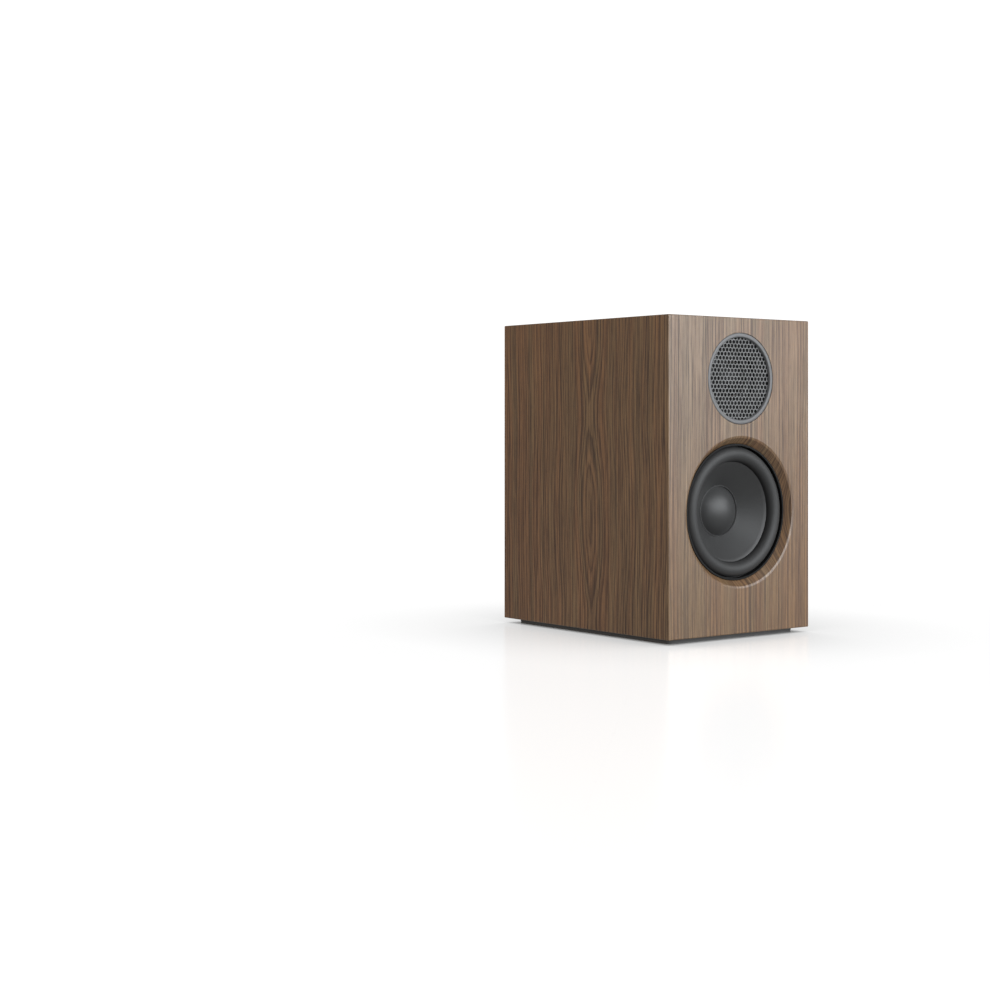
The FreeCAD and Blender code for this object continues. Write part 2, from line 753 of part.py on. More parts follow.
def make_port():
    """The port tube with its flared mouth, and the flare pushed on its inner end."""
    mouth = BACK - 0.2
    straight = mouth - PORT_FLARE
    inner_end = mouth - PORT_LENGTH
    sag = PORT_FLARE * (1 - math.sqrt(0.5))
    outer = PORT_RADIUS + PORT_WALL
    neck = port_neck() - 0.1
    wide = PORT_RADIUS + PORT_FLARE
    lip = PANEL_BACK
    tube = turned(
        port_centre(),
        (PORT_RADIUS, inner_end), (PORT_RADIUS, straight),
        ((PORT_RADIUS + sag, mouth - sag), (wide, mouth)),
        (PORT_LIP - 0.8, mouth), (PORT_LIP, mouth - 0.8), (PORT_LIP, lip), (neck, lip),
        (neck, PANEL_FRONT + 3), (outer, PANEL_FRONT + 0.5), (outer, inner_end),
    )
    flare_end = inner_end - PORT_FLARE
    skin = 1.8
    flare = turned(
        port_centre(),
        (PORT_RADIUS, inner_end - 0.05),
        ((PORT_RADIUS + sag, flare_end + sag), (wide, flare_end)),
        (wide + skin, flare_end), (outer + 1.8, inner_end - 2), (outer + 1.8, inner_end + 12),
        (outer + 0.05, inner_end + 12), (outer + 0.05, inner_end - 0.05),
    )
    save("port_tube", tube)
    save("port_inner_flare", flare)


# ---------------------------------------------------------------- terminals

def post_centre(side):
    return CUP + V(side * POST_PITCH / 2, 0, 0)


def cup_screws(recess):
    across = CUP_WIDTH / 2 - 4.5
    up = CUP_HEIGHT / 2 - 4.5
    seats = [V(x, BACK, CUP.z + z) for x in (-across, across) for z in (-up, up)]
    return [screw(seat, -1, length=10, shank=1.3, head=2.7, sunk=True, recess=recess) for seat in seats]


def terminal_cup():
    """A flanged cup that sinks the two posts into the back of the cabinet."""
    flange = plate(CUP, CUP_WIDTH, CUP_HEIGHT, CUP_CORNER, BACK - CUP_FLANGE, BACK)
    floor = BACK - POCKET_DEPTH
    grow = 2 * POCKET_WALL
    body = plate(CUP, POCKET_WIDTH + grow, POCKET_HEIGHT + grow, 5, floor - POCKET_FLOOR, BACK - 1)
    pocket = plate(CUP, POCKET_WIDTH, POCKET_HEIGHT, 3.5, floor, BACK + 1)
    holes = [rod(post_centre(side), 3.7, floor - 5, floor + 1) for side in (-1, 1)]
    return cut_away(joined(flange, [body]), [pocket] + holes + cup_screws(False))


def binding_post(side):
    """A post with a flat collar, a cross hole for bare wire and a socket in its outer end."""
    centre = post_centre(side)
    floor = BACK - POCKET_DEPTH
    end = BACK - 1.5
    stud = rod(centre, POST_RADIUS, floor - 14, end)
    collar = rod(centre, COLLAR_RADIUS, floor, floor + COLLAR_THICK)
    socket = rod(centre, SOCKET_RADIUS, end - SOCKET_DEPTH, end + 1)
    low = centre + V(0, floor + COLLAR_THICK + 2, -10)
    cross = Part.makeCylinder(WIRE_HOLE, 20, low, Z_AXIS)
    return cut_away(joined(stud, [collar]), [socket, cross])


def knob_body(centre, start):
    """The gripped part of a knob: fluted, and rounded at its outer end."""
    end = start + KNOB_LENGTH
    edge = 0.8
    body = turned(
        centre,
        (SLEEVE_RADIUS, start), (KNOB_RADIUS - edge, start), (KNOB_RADIUS, start + edge),
        (KNOB_RADIUS, end - edge), (KNOB_RADIUS - edge, end), (SLEEVE_RADIUS, end),
    )
    flutes = [rod(polar(centre, KNOB_RADIUS + 0.2, 360 / KNOB_FLUTES * k), 0.6, start + 3, end + 1)
              for k in range(KNOB_FLUTES)]
    return cut_away(body, flutes)


def nut(side, start, end):
    centre = post_centre(side) + V(0, start, 0)
    hexagonal = Part.Face(hexagon(centre, 11, False)).extrude(V(0, end - start, 0))
    return cut_away(hexagonal, [rod(post_centre(side), POST_RADIUS, start - 1, end + 1)])


def solder_lug(side, start, end):
    """A ring under the nut with a tail that the wire is soldered to."""
    centre = post_centre(side)
    tail = block(centre + V(-2.2, start, -15), centre + V(2.2, end, -5))
    lug = joined(rod(centre, 6.2, start, end), [tail])
    return cut_away(lug, [rod(centre, POST_RADIUS, start - 1, end + 1)])


def make_terminals():
    floor = BACK - POCKET_DEPTH
    behind = floor - POCKET_FLOOR
    seat = floor + COLLAR_THICK
    flange = BACK - CUP_FLANGE
    gasket = plate(CUP, CUP_WIDTH, CUP_HEIGHT, CUP_CORNER, PANEL_BACK, flange)
    save("terminal_cup", terminal_cup())
    save("terminal_cup_gasket", cut_away(gasket, [cup_hole(PANEL_BACK - 1, flange + 1)] + cup_screws(False)))
    save("terminal_cup_screws", *cup_screws(True))
    save("binding_posts", binding_post(-1), binding_post(1))
    save("solder_lugs", *[solder_lug(side, behind - 0.6, behind) for side in (-1, 1)])
    save("terminal_nuts", *[nut(side, behind - 3.6, behind - 0.6) for side in (-1, 1)])
    for side, colour in ((-1, "black"), (1, "red")):
        centre = post_centre(side)
        knob = seat + 1.0
        save(colour + "_clamp_washer", ring(centre, KNOB_BORE + 0.02, 6.2, seat + 0.1, seat + 0.9))
        save(colour + "_knob", knob_body(centre, knob))
        save(colour + "_knob_sleeve", ring(centre, KNOB_BORE, SLEEVE_RADIUS, knob, knob + KNOB_LENGTH - 0.5))


# ---------------------------------------------------------------- crossover

def upright_coil(middle, radius, core, height, up):
    """A winding on a flanged bobbin that stands on the board: the winding, then the bobbin."""
    base = V(middle.x, middle.y, up)
    rim = 1.2
    hub = core + 1.2
    winding = Part.makeCylinder(radius, height - 2 * rim, base + V(0, 0, rim), Z_AXIS)
    winding = cut_away(winding, [Part.makeCylinder(hub, height, base, Z_AXIS)])
    bobbin = joined(
        Part.makeCylinder(hub, height, base, Z_AXIS),
        [Part.makeCylinder(radius + 1, rim, base + V(0, 0, z), Z_AXIS) for z in (0, height - rim)],
    )
    bobbin = cut_away(bobbin, [Part.makeCylinder(core, height + 2, base - V(0, 0, 1), Z_AXIS)])
    return winding, bobbin


def make_crossover():
    top = BOARD_HEIGHT + BOARD_THICK
    board = block(V(-BOARD_X, BOARD_START, BOARD_HEIGHT), V(BOARD_X, BOARD_END, top))
    corners = [(x, y) for x in (-40, 40) for y in (BOARD_START + 5, BOARD_END - 5)]
    peg_radius = 1.6
    posts = []
    for x, y in corners:
        pillar = Part.makeCylinder(3.5, BOARD_HEIGHT - INNER_FLOOR, V(x, y, INNER_FLOOR), Z_AXIS)
        peg = Part.makeCylinder(peg_radius, BOARD_THICK + 1.4, V(x, y, BOARD_HEIGHT), Z_AXIS)
        posts.append(joined(pillar, [peg]))
    holes = [Part.makeCylinder(peg_radius, 10, V(x, y, BOARD_HEIGHT - 5), Z_AXIS) for x, y in corners]
    save("crossover_board", cut_away(board, holes))
    save("crossover_standoffs", *posts)
    large = upright_coil(V(26, 34, 0), 14, 6, 16, top)
    small = upright_coil(V(-26, 52, 0), 9, 4, 11, top)
    save("inductor_windings", large[0], small[0])
    save("inductor_bobbins", large[1], small[1])
    capacitors = []
    for x, y, radius, length in ((-24, 14, 7.5, 26), (-6, 44, 5.5, 20)):
        start = V(x - length / 2, y, top + radius)
        can = Part.makeCylinder(radius, length, start, V(1, 0, 0))
        capacitors.append(can.makeFillet(0.8, [e for e in can.Edges if e.Closed and e.Length > radius]))
    save("capacitors", *capacitors)
    resistors = [block(V(x - 11, y - 4.5, top), V(x + 11, y + 4.5, top + 9)) for x, y in ((12, 12), (-3, 28))]
    save("cement_resistors", *resistors)


def make_wiring():
    """Wire pairs from the terminals to the board and from the board to both drivers."""
    top = BOARD_HEIGHT + BOARD_THICK
    lug = BACK - POCKET_DEPTH - POCKET_FLOOR - 0.6
    strip = BAFFLE + GASKET_THICK + FLANGE_THICK
    spot = top + 0.2
    wires = []
    for side in (-1, 1):
        x = side * POST_PITCH / 2
        input_route = [
            V(x, lug - 1.3, CUP.z - 11), V(x, lug - 2.2, CUP.z - 23),
            V(x, 62, 38), V(x, 62, spot),
        ]
        woofer_route = [
            WOOFER + V(side * TAB_GAP, strip + 18.5, -57.2), V(side * TAB_GAP, -50, WOOFER.z - 60),
            V(side * 9, -25, 31), V(side * 7, -5, 34), V(side * 4, 3.5, 31), V(side * 4, 3.5, spot),
        ]
        start = TWEETER + V(side * TWEETER_TAB_GAP, YOKE_BACK + 11, 0)
        lane = side * 1.6
        tweeter_route = [
            start, start + V(0, 9, -2), V(-16 + lane, -46, 180), V(-36 + lane, -30, 158),
            V(-44 + lane, -24, 118), V(-45 + lane, -18, 76), V(-43 + lane, -6, 40),
            V(-41 + lane, 16, 36), V(-41 + lane, 28, 34), V(-41 + lane, 28, spot),
        ]
        wires += [wire(route, WIRE_RADIUS) for route in (input_route, woofer_route, tweeter_route)]
    save("internal_wiring", *wires)


os.makedirs("parts", exist_ok=True)
make_cabinet()
make_foam()
make_woofer()
make_tweeter()
make_terminal_tabs()
make_port()
make_terminals()
make_crossover()
make_wiring()
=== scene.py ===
import math

import bmesh
import bpy
from mathutils import Matrix, Vector


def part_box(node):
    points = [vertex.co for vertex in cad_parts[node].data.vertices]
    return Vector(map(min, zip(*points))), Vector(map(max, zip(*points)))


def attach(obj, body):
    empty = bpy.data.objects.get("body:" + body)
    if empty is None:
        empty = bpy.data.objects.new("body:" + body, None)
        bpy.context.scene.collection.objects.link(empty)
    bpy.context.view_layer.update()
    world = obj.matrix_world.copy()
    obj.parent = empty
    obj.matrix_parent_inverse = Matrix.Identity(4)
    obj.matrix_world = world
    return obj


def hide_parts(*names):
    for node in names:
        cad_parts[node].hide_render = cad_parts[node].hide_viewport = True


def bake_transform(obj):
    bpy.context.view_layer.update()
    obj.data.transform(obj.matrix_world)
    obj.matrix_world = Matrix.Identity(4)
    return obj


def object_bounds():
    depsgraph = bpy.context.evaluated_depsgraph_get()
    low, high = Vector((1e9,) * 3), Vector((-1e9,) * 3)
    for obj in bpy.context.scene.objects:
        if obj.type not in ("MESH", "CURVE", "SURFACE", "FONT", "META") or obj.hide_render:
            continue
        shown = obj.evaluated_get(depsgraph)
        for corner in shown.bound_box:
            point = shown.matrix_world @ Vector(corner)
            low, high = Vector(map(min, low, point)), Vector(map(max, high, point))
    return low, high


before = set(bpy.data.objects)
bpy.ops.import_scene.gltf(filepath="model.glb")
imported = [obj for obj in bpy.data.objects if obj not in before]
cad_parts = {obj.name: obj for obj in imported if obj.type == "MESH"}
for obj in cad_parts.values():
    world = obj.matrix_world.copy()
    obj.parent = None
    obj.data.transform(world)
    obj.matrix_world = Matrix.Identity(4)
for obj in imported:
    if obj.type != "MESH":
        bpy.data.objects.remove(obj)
CAD_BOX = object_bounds()

# Lengths in the outlines are millimetres: a radius, and a depth behind the front of the cabinet.
MM = 0.001
SHARP = math.radians(32)
# The flat arris round the woofer's recess meets the front at a shallow angle, and stays crisp.
ARRIS = math.radians(16)
# Steps round a turned piece, and round one that is seen from close by.
ROUND = 160
FINE_ROUND = 192
ALONG_Y = Vector((0, 1, 0))
SECTORS = 16


def middle(node):
    low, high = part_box(node)
    return (low + high) / 2


FRONT = CAD_BOX[0][1]
BACK = CAD_BOX[1][1]
WOOFER = Vector((0, FRONT, middle("woofer_cone").z))
TWEETER = Vector((0, FRONT, middle("tweeter_dome").z))
PORT = Vector((0, FRONT, middle("port_tube").z))


def half_width(node):
    """Half of a node's width, in millimetres, which is the outer radius of a turned one."""
    low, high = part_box(node)
    return (high.x - low.x) / 2 / MM


def depths(node):
    """Where a node starts and ends behind the front, in millimetres."""
    low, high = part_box(node)
    return (low.y - FRONT) / MM, (high.y - FRONT) / MM


# ---------------------------------------------------------------- camera, floor and light

def camera():
    """A long lens at eye level with the upper driver, to the left of the speaker's front."""
    data = bpy.data.cameras.new("camera")
    data.sensor_width = 36
    data.lens = 63.556
    data.shift_y = -0.0705
    data.shift_x = 0.0005
    data.clip_start = 0.05
    data.clip_end = 100
    seen_from = bpy.data.objects.new("camera", data)
    seen_from.location = (-0.9557, -1.0391, 0.1623)
    seen_from.rotation_euler = (math.radians(90), 0, math.radians(-37.43))
    bpy.context.scene.collection.objects.link(seen_from)
    bpy.context.scene.camera = seen_from


def softbox(name, place, toward, width, height, power, tint=(1, 1, 1)):
    """A large soft lamp that faces a point."""
    data = bpy.data.lights.new(name, "AREA")
    data.shape = "RECTANGLE"
    data.size = width
    data.size_y = height
    data.energy = power
    data.color = tint
    lamp = bpy.data.objects.new(name, data)
    lamp.location = place
    aim = Vector(toward) - Vector(place)
    lamp.rotation_euler = aim.to_track_quat("-Z", "Y").to_euler()
    bpy.context.scene.collection.objects.link(lamp)


def studio():
    """A white room: bright to the camera, dimmer as a source of light, with soft lamps in it."""
    world = bpy.data.worlds.new("studio")
    bpy.context.scene.world = world
    world.use_nodes = True
    tree = world.node_tree
    tree.nodes.clear()
    output = tree.nodes.new("ShaderNodeOutputWorld")
    seen = tree.nodes.new("ShaderNodeBackground")
    seen.inputs["Strength"].default_value = 1.4
    lit = tree.nodes.new("ShaderNodeBackground")
    lit.inputs["Strength"].default_value = 0.26
    ray = tree.nodes.new("ShaderNodeLightPath")
    mix = tree.nodes.new("ShaderNodeMixShader")
    tree.links.new(ray.outputs["Is Camera Ray"], mix.inputs["Fac"])
    tree.links.new(lit.outputs[0], mix.inputs[1])
    tree.links.new(seen.outputs[0], mix.inputs[2])
    tree.links.new(mix.outputs[0], output.inputs["Surface"])
    softbox("front_light", (0.38, -1.58, 0.60), (0, -0.1, 0.15), 2.2, 1.15, 43.5, (0.965, 1.0, 1.03))
    softbox("side_light", (-1.75, 0.35, 0.9), (0, 0, 0.12), 1.0, 1.0, 14.0, (1.0, 0.83, 0.66))
    softbox("top_light", (0.0, 0.1, 2.2), (0, 0, 0.12), 2.0, 2.0, 12)
    bpy.context.scene.view_settings.view_transform = "Standard"


# ---------------------------------------------------------------- materials

class Finish:
    """A material while it is made: one Principled shader and the nodes that feed it.
    Coordinates are the piece's own, in millimetres."""

    def __init__(self, name, colour=(0.5, 0.5, 0.5), roughness=0.5, metallic=0.0, specular=0.5):
        self.material = bpy.data.materials.new(name)
        self.material.use_nodes = True
        self.tree = self.material.node_tree
        self.shader = self.tree.nodes["Principled BSDF"]
        self.shader.inputs["Base Color"].default_value = (*colour, 1)
        self.shader.inputs["Roughness"].default_value = roughness
        self.shader.inputs["Metallic"].default_value = metallic
        self.shader.inputs["Specular IOR Level"].default_value = specular
        place = self.tree.nodes.new("ShaderNodeTexCoord")
        scaled = self.tree.nodes.new("ShaderNodeVectorMath")
        scaled.operation = "SCALE"
        scaled.inputs["Scale"].default_value = 1 / MM
        self.tree.links.new(place.outputs["Object"], scaled.inputs[0])
        self.place = scaled.outputs["Vector"]

    def put(self, value, socket):
        """Links a node's output to a socket, or sets the socket to a plain value."""
        if isinstance(value, bpy.types.NodeSocket):
            self.tree.links.new(value, socket)
        else:
            socket.default_value = value

    def split(self, vector=None):
        node = self.tree.nodes.new("ShaderNodeSeparateXYZ")
        self.put(vector or self.place, node.inputs[0])
        return node.outputs

    def vector(self, x, y, z):
        node = self.tree.nodes.new("ShaderNodeCombineXYZ")
        for value, socket in zip((x, y, z), node.inputs):
            self.put(value, socket)
        return node.outputs[0]

    def math(self, operation, first, second=0.0, third=0.0):
        node = self.tree.nodes.new("ShaderNodeMath")
        node.operation = operation
        for value, socket in zip((first, second, third), node.inputs):
            self.put(value, socket)
        return node.outputs[0]

    def stretched(self, x, y, z):
        """The place with each axis scaled, so that a pattern is stretched along the small ones."""
        node = self.tree.nodes.new("ShaderNodeMapping")
        node.vector_type = "POINT"
        node.inputs["Scale"].default_value = (x, y, z)
        self.put(self.place, node.inputs["Vector"])
        return node.outputs[0]

    def noise(self, vector, scale=1.0, detail=2.0, roughness=0.5):
        node = self.tree.nodes.new("ShaderNodeTexNoise")
        self.put(vector, node.inputs["Vector"])
        node.inputs["Scale"].default_value = scale
        node.inputs["Detail"].default_value = detail
        node.inputs["Roughness"].default_value = roughness
        return node.outputs["Fac"]

    def line_noise(self, along, scale=1.0, detail=2.0, roughness=0.5):
        """Noise that varies with one number only."""
        node = self.tree.nodes.new("ShaderNodeTexNoise")
        node.noise_dimensions = "1D"
        self.put(along, node.inputs["W"])
        node.inputs["Scale"].default_value = scale
        node.inputs["Detail"].default_value = detail
        node.inputs["Roughness"].default_value = roughness
        return node.outputs["Fac"]

    def between(self, value, low, high, out_low=0.0, out_high=1.0):
        """The value rescaled from one range to another, and kept inside it."""
        node = self.tree.nodes.new("ShaderNodeMapRange")
        for number, socket in zip((value, low, high, out_low, out_high), node.inputs):
            self.put(number, socket)
        return node.outputs["Result"]

    def mixed_colour(self, amount, first, second):
        node = self.tree.nodes.new("ShaderNodeMix")
        node.data_type = "RGBA"
        colour_inputs = [s for s in node.inputs if s.type == "RGBA"]
        factor = [s for s in node.inputs if s.type == "VALUE"][0]
        self.put(amount, factor)
        for value, socket in zip((first, second), colour_inputs):
            self.put((*value, 1) if isinstance(value, tuple) else value, socket)
        return [s for s in node.outputs if s.type == "RGBA"][0]

    def coloured(self, colour):
        self.put(colour, self.shader.inputs["Base Color"])

    def rough(self, value):
        self.put(value, self.shader.inputs["Roughness"])

    def bumped(self, height, depth):
        """Bump of this depth, in millimetres, where the height goes from 0 to 1."""
        node = self.tree.nodes.new("ShaderNodeBump")
        node.inputs["Distance"].default_value = depth * MM
        self.put(height, node.inputs["Height"])
        self.tree.links.new(node.outputs[0], self.shader.inputs["Normal"])


WALNUT_DARK = (0.042, 0.0192, 0.0078)
WALNUT_LIGHT = (0.228, 0.143, 0.072)
WALNUT_RED_DARK = (0.051, 0.0195, 0.0073)
WALNUT_RED_LIGHT = (0.248, 0.135, 0.064)
WALNUT_PORE = (0.022, 0.0115, 0.006)
# One year's growth, in millimetres, and the half width of the eyes at the heart of a figured
# sheet: its middle value, how far it swings, and the power that makes an eye round or pointed.
YEAR = 3.8
HEART_MIDDLE = 6.2
HEART_SWING = 5.4
HEART_POWER = 1.6


def veneer(name, across, along, contrast=1.0, figure=None):
    """Oiled walnut veneer. across and along are the axes across and along its grain. A figured
    sheet is cut near the heart of the tree: its lines close in points and an eye, round a centre
    given as a place across, a height of the eye, and the distance between eyes."""
    finish = Finish(name, roughness=0.3, specular=0.65)
    axes = finish.split()
    u = axes[across]
    v = axes[along]
    w = axes[3 - across - along]

    def grain(fine, long, detail=2, roughness=0.5):
        """Noise with this many periods in a millimetre across the grain, and along it."""
        spread = finish.vector(*(finish.math("MULTIPLY", axis, size)
                                 for axis, size in ((u, fine), (v, long), (w, long))))
        return finish.noise(spread, 1, detail, roughness)

    def centred(noise, size):
        return finish.math("MULTIPLY", finish.math("SUBTRACT", noise, 0.5), size)

    drift = finish.math("ADD", centred(grain(0.014, 0.004), 9.0), centred(grain(0.09, 0.016), 2.0))
    ring = finish.math("ADD", u, drift)
    rear = finish.between(u, 10, 90, 0.0, 0.35)
    if figure:
        centre, eye, apart = figure
        swing = finish.math("COSINE", finish.math(
            "MULTIPLY", finish.math("SUBTRACT", v, eye), 2 * math.pi / apart))
        heart = finish.math("MULTIPLY_ADD", swing, -HEART_SWING, HEART_MIDDLE)
        offset = finish.math("ABSOLUTE", finish.math("SUBTRACT", ring, centre))
        powers = [finish.math("POWER", value, HEART_POWER) for value in (offset, heart)]
        ring = finish.math("POWER", finish.math("ADD", *powers), 1 / HEART_POWER)
        ring = finish.math("ADD", ring, centred(grain(0.22, 0.03), 1.8))
        side = finish.math("GREATER_THAN", finish.math("SUBTRACT", u, centre), 0)
        ring = finish.math("MULTIPLY_ADD", side, finish.math("MULTIPLY", offset, 0.22), ring)

    def elsewhere(distance):
        """The ring's place, moved so far that its noise is unlike the noise of the other patterns."""
        return finish.math("ADD", ring, distance)

    phase = finish.math("MULTIPLY_ADD", finish.line_noise(ring, 0.09, 1), 2.0,
                        finish.math("DIVIDE", ring, YEAR))
    year = finish.math("FRACT", phase)
    late = finish.math("MULTIPLY", finish.between(year, 0.40, 0.88), finish.between(year, 1.0, 0.93))
    strength = finish.between(finish.line_noise(elsewhere(300.0), 0.05, 1), 0.35, 0.68, 0.35, 1.0)
    lines = finish.math("MULTIPLY", late, strength)
    if figure:
        lines = finish.math("MULTIPLY", lines, finish.between(ring, 3, 15, 0.42, 1.0))
    bands = finish.line_noise(elsewhere(700.0), 0.30, 3, 0.7)
    fibres = grain(2.4, 0.035, 4, 0.65)
    streaks = finish.between(grain(1.1, 0.008), 0.58, 0.72)
    pores = finish.between(grain(3.6, 0.20), 0.62, 0.72)
    blotch = finish.math("MULTIPLY_ADD", finish.line_noise(elsewhere(90.0), 0.07, 2), 0.7,
                         finish.math("MULTIPLY", grain(0.03, 0.009), 0.3))
    tone = finish.math("MULTIPLY_ADD", lines, -0.72, finish.math("MULTIPLY_ADD", bands, 1.05, 0.07))
    tone = finish.math("ADD", tone, centred(fibres, 3.0))
    tone = finish.math("ADD", tone, centred(grain(2.0, 0.007, 3, 0.6), 3.2))
    tone = finish.math("MULTIPLY_ADD", streaks, 0.34, tone)
    tone = finish.math("MULTIPLY_ADD", finish.between(tone, 0.0, 1.0), contrast, 0.5 * (1 - contrast))
    brown = finish.mixed_colour(tone, WALNUT_DARK, WALNUT_LIGHT)
    red = finish.mixed_colour(tone, WALNUT_RED_DARK, WALNUT_RED_LIGHT)
    warmth = finish.math("ADD", blotch, finish.math("MULTIPLY", rear, 0.4))
    redness = finish.between(warmth, 0.44, 0.62, 0.0, contrast)
    wood = finish.mixed_colour(redness, brown, red)
    wood = finish.mixed_colour(finish.math("MULTIPLY", pores, 0.6 * contrast), wood, WALNUT_PORE)
    finish.coloured(wood)
    finish.rough(finish.math("MULTIPLY_ADD", tone, -0.22, 0.50))
    finish.bumped(finish.math("MULTIPLY_ADD", pores, -0.8, finish.math("MULTIPLY", fibres, 0.6)), 0.03)
    return finish.material


def moulded(name, colour, roughness, grain=1.5, depth=0.02, metallic=0.0, specular=0.5):
    """A moulded, painted or cast surface: a fine grain, and slightly uneven gloss and colour."""
    finish = Finish(name, colour, roughness, metallic, specular)
    fine = finish.noise(finish.stretched(grain, grain, grain), 1, 3, 0.55)
    broad = finish.noise(finish.stretched(0.06, 0.06, 0.06), 1, 2)
    dark = tuple(c * 0.82 for c in colour)
    light = tuple(min(1.0, c * 1.16) for c in colour)
    finish.coloured(finish.mixed_colour(finish.math("MULTIPLY_ADD", broad, 0.5, finish.math(
        "MULTIPLY", fine, 0.5)), dark, light))
    finish.rough(finish.math("MULTIPLY_ADD", fine, 0.10, roughness - 0.05))
    finish.bumped(fine, depth)
    return finish.material


def cloth(name, colour, pitch, depth=0.06):
    """A woven cloth of crossed threads this far apart."""
    finish = Finish(name, colour, 0.85, specular=0.25)
    axes = finish.split()
    waves = [finish.math("SINE", finish.math("MULTIPLY", axes[k], 2 * math.pi / pitch)) for k in (0, 2)]
    weave = finish.between(finish.math("MULTIPLY", waves[0], waves[1]), -1, 1)
    dark = tuple(c * 0.6 for c in colour)
    finish.coloured(finish.mixed_colour(weave, dark, colour))
    finish.bumped(weave, depth)
    return finish.material


def brushed(name, colour, roughness, lines=(0.4, 6, 6), plating=1.0):
    """Plated or brushed metal with fine lines along one axis."""
    finish = Finish(name, colour, roughness, plating)
    fine = finish.noise(finish.stretched(*lines), 1, 3, 0.6)
    dark = tuple(c * 0.8 for c in colour)
    finish.coloured(finish.mixed_colour(fine, dark, colour))
    finish.rough(finish.math("MULTIPLY_ADD", fine, 0.18, roughness - 0.09))
    finish.bumped(fine, 0.006)
    return finish.material


def floor_material():
    """A white floor that glows, so that it stays white, and has a faint shine for the camera.
    Its glow is dimmed by a painted contact shadow close under things, and brightens away from the speaker."""
    material = bpy.data.materials.new("studio_floor")
    material.use_nodes = True
    tree = material.node_tree
    tree.nodes.clear()

    def made(kind, *links, **values):
        """A node with these inputs linked or set."""
        node = tree.nodes.new("ShaderNode" + kind)
        for name, value in values.items():
            node.inputs[name].default_value = value
        for source, target in links:
            tree.links.new(source, node.inputs[target])
        return node

    # Painted contact shadow: the glow dims by ambient occlusion where something stands close above.
    open_above = made("AmbientOcclusion", Distance=0.15)
    open_above.samples = 8
    shade = made("Math", (open_above.outputs["AO"], 0))
    shade.operation = "POWER"
    shade.inputs[1].default_value = 0.6
    place = made("TexCoord")
    away = made("VectorMath", (place.outputs["Object"], 0))
    away.operation = "LENGTH"
    # Painted light: the glow grows brighter with distance from the speaker.
    brighter = made("MapRange", (away.outputs["Value"], "Value"))
    for name, value in (("From Min", 0.2), ("From Max", 0.9), ("To Min", 1.04), ("To Max", 1.16)):
        brighter.inputs[name].default_value = value
    level = made("Math", (shade.outputs[0], 0), (brighter.outputs["Result"], 1))
    level.operation = "MULTIPLY"
    white = made("Emission", (level.outputs[0], "Strength"))
    gloss = made("BsdfGlossy", Color=(3.0, 3.0, 3.0, 1), Roughness=0.2)
    seen = made("MixShader", (white.outputs[0], 1), (gloss.outputs[0], 2), Fac=0.15)
    lit = made("Emission", Strength=0.36)
    ray = made("LightPath")
    shown = made("MixShader", (ray.outputs["Is Camera Ray"], "Fac"), (lit.outputs[0], 1),
                 (seen.outputs[0], 2))
    output = tree.nodes.new("ShaderNodeOutputMaterial")
    tree.links.new(shown.outputs[0], output.inputs["Surface"])
    return material


# ---------------------------------------------------------------- shaping

def outline_edges(bm, points, centre):
    """A closed outline in the half plane beside a vertical axis through centre."""
    verts = [bm.verts.new(centre + Vector((radius, depth, 0)) * MM) for radius, depth in points]
    return verts + [bm.edges.new((a, b)) for a, b in zip(verts, verts[1:] + verts[:1])]


def turned(points, centre, steps=ROUND):
    """A shape turned about the line along Y through centre. Points are (radius, depth)."""
    bm = bmesh.new()
    bmesh.ops.spin(bm, geom=outline_edges(bm, points, centre), cent=centre, axis=ALONG_Y,
                   dvec=(0, 0, 0), angle=2 * math.pi, steps=steps, use_merge=True, use_duplicate=False)
    bmesh.ops.remove_doubles(bm, verts=bm.verts, dist=1e-6)
    return bm


def arc(start, top, end, steps=16):
    """Points on the circle through three points, from the first to the last."""
    (ax, ay), (bx, by), (cx, cy) = start, top, end
    d = 2 * (ax * (by - cy) + bx * (cy - ay) + cx * (ay - by))
    ux = ((ax**2 + ay**2) * (by - cy) + (bx**2 + by**2) * (cy - ay) + (cx**2 + cy**2) * (ay - by)) / d
    uy = ((ax**2 + ay**2) * (cx - bx) + (bx**2 + by**2) * (ax - cx) + (cx**2 + cy**2) * (bx - ax)) / d
    first = math.atan2(ay - uy, ax - ux)
    last = math.atan2(cy - uy, cx - ux)
    by_way = math.atan2(by - uy, bx - ux)
    turn = (last - first) % (2 * math.pi)
    if (by_way - first) % (2 * math.pi) > turn:
        turn -= 2 * math.pi
    radius = math.hypot(ax - ux, ay - uy)
    angles = [first + turn * k / steps for k in range(steps + 1)]
    return [(ux + radius * math.cos(angle), uy + radius * math.sin(angle)) for angle in angles]


def soften(bm, width, steps=2):
    """Rounds every sharp edge by this width, in millimetres."""
    edges = [e for e in bm.edges if len(e.link_faces) == 2 and e.calc_face_angle(0) > SHARP]
    bmesh.ops.bevel(bm, geom=edges, offset=width * MM, segments=steps, profile=0.5,
                    affect="EDGES", material=-1, clamp_overlap=True)


def block(low, high):
    """A box between two corners, in metres."""
    bm = bmesh.new()
    size = high - low
    bmesh.ops.create_cube(bm, size=1, matrix=Matrix.LocRotScale((low + high) / 2, None, size))
    return bm


def piece(name, bm, finish, slot, body, *nodes):
    """A finished piece, which rides on its body, if it has one, and stands for the CAD nodes."""
    bmesh.ops.recalc_face_normals(bm, faces=bm.faces)
    for face in bm.faces:
        face.smooth = True
    for edge in bm.edges:
        edge.smooth = edge.calc_face_angle(0) < SHARP
    mesh = bpy.data.meshes.new(name)
    bm.to_mesh(mesh)
    bm.free()
    mesh.materials.append(finish)
    made = bpy.data.objects.new(name, mesh)
    bpy.context.scene.collection.objects.link(made)
    if body:
        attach(made, body)
    if nodes:
        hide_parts(*nodes)
    return made


